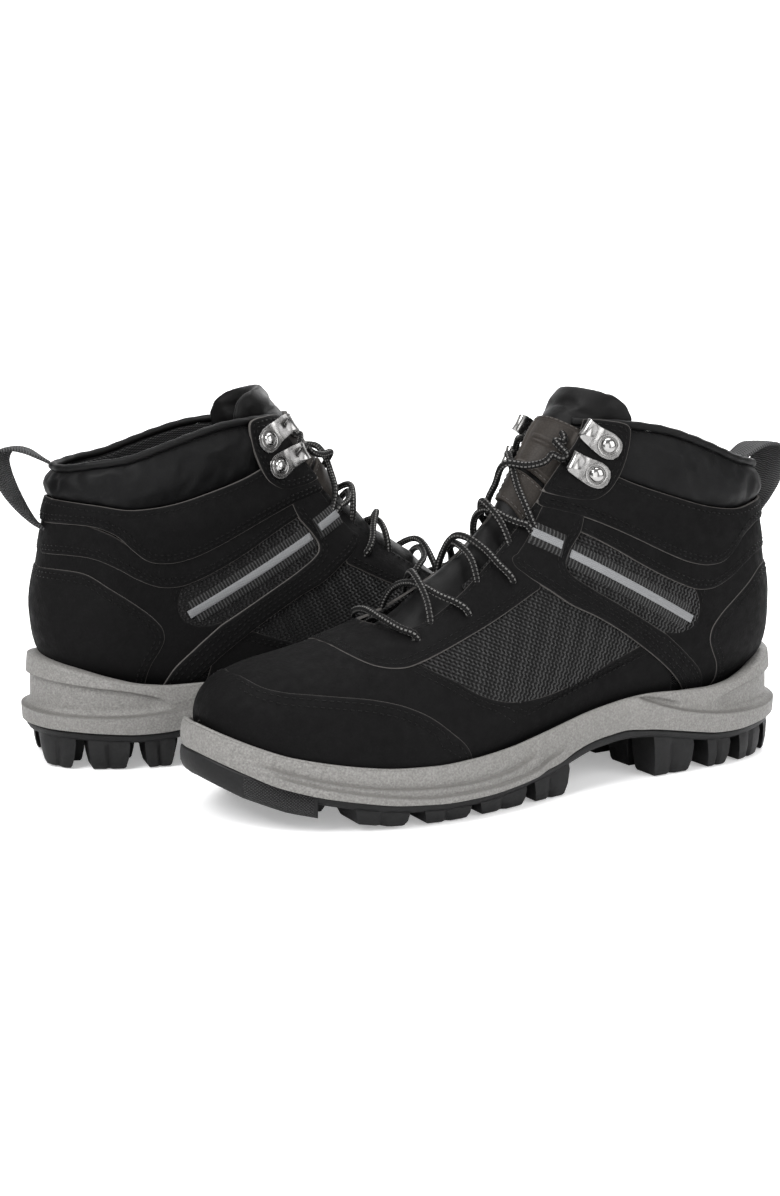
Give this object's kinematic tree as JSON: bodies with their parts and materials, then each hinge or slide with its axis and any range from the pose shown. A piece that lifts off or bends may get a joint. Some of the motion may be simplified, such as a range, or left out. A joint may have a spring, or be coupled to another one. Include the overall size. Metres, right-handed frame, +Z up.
{
  "type": "hiking boots",
  "caption": "Pair of mid-height lace-up hiking boots with padded collar, layered leather and mesh upper, lugged rubber sole, speed hooks and heel pull loops.",
  "frame": {"origin": "on the ground, under the middle of the box that holds the pair", "axes": "+X to the right and +Y away from the viewer who sees the outer sides of both boots, +Z up"},
  "size_m": [0.3844, 0.2542, 0.1777],
  "materials": {
    "lug_rubber": "matt moulded rubber",
    "foam": "pebbled moulded foam",
    "shank_plastic": "plain",
    "board": "fibre board",
    "footbed": "knit-topped foam",
    "lining_fabric": "knit",
    "nubuck": "matt nubuck",
    "mesh_fabric": "coarse knit",
    "webbing": "ribbed webbing",
    "reflective": "silver-grey reflective tape",
    "collar_leather": "smooth soft leather",
    "binding": "rolled edge",
    "tongue_fabric": "padded knit",
    "badge_leather": "brown-grey stitched leather",
    "lace_cord": "round braided cord, grey fleck",
    "hook_metal": "polished dark nickel",
    "rivet_metal": "polished",
    "loop_webbing": "herringbone webbing tape"
  },
  "bodies": {
    "left_boot": {"left_outsole": "lug_rubber", "left_midsole": "foam", "left_shank": "shank_plastic", "left_insole_board": "board", "left_insole": "footbed", "left_lining": "lining_fabric", "left_vamp": "nubuck", "left_toe_cap": "nubuck", "left_eyestay": "nubuck", "left_forefoot_mesh": "mesh_fabric", "left_side_straps": "nubuck", "left_rear_mesh": "mesh_fabric", "left_webbing_straps": "webbing", "left_reflective_strips": "reflective", "left_ankle_overlay_upper": "nubuck", "left_ankle_overlay_lower": "nubuck", "left_quarter": "nubuck", "left_heel_counter": "nubuck", "left_collar_padding": "collar_leather", "left_collar_binding": "binding", "left_hook_tabs": "nubuck", "left_laces": "lace_cord", "left_lace_hooks": "hook_metal", "left_hook_rivets": "rivet_metal"},
    "left_tongue_flap": {"left_tongue": "tongue_fabric", "left_tongue_badge": "badge_leather", "left_lace_keeper": "badge_leather"},
    "left_heel_loop": {"left_pull_loop": "loop_webbing"},
    "right_boot": {"right_outsole": "lug_rubber", "right_midsole": "foam", "right_shank": "shank_plastic", "right_insole_board": "board", "right_insole": "footbed", "right_lining": "lining_fabric", "right_vamp": "nubuck", "right_toe_cap": "nubuck", "right_eyestay": "nubuck", "right_forefoot_mesh": "mesh_fabric", "right_side_straps": "nubuck", "right_rear_mesh": "mesh_fabric", "right_webbing_straps": "webbing", "right_reflective_strips": "reflective", "right_ankle_overlay_upper": "nubuck", "right_ankle_overlay_lower": "nubuck", "right_quarter": "nubuck", "right_heel_counter": "nubuck", "right_collar_padding": "collar_leather", "right_collar_binding": "binding", "right_hook_tabs": "nubuck", "right_laces": "lace_cord", "right_lace_hooks": "hook_metal", "right_hook_rivets": "rivet_metal"},
    "right_tongue_flap": {"right_tongue": "tongue_fabric", "right_tongue_badge": "badge_leather", "right_lace_keeper": "badge_leather"},
    "right_heel_loop": {"right_pull_loop": "loop_webbing"}
  },
  "joints": [
    {"name": "left_tongue_hinge", "type": "hinge", "parent": "left_boot", "child": "left_tongue_flap", "pos_m": [0.0041, -0.06158, 0.084], "axis": [0.494, -0.8695, 0], "range_deg": [-12, 0]},
    {"name": "left_heel_loop_swing", "type": "hinge", "parent": "left_boot", "child": "left_heel_loop", "pos_m": [0.17192, 0.03375, 0.1125], "axis": [-0.0441, -0.0251, 0.9987], "range_deg": [-15, 15]},
    {"name": "right_tongue_hinge", "type": "hinge", "parent": "right_boot", "child": "right_tongue_flap", "pos_m": [0.00868, 0.06125, 0.084], "axis": [-0.3568, 0.9342, 0], "range_deg": [-12, 0]},
    {"name": "right_heel_loop_swing", "type": "hinge", "parent": "right_boot", "child": "right_heel_loop", "pos_m": [-0.17162, -0.0076, 0.1125], "axis": [0.0474, 0.0181, 0.9987], "range_deg": [-15, 15]},
    {"name": "right_boot_lift", "type": "slide", "parent": "left_boot", "child": "right_boot", "axis": [0, 0, 1], "range_m": [0, 0.25]}
  ]
}
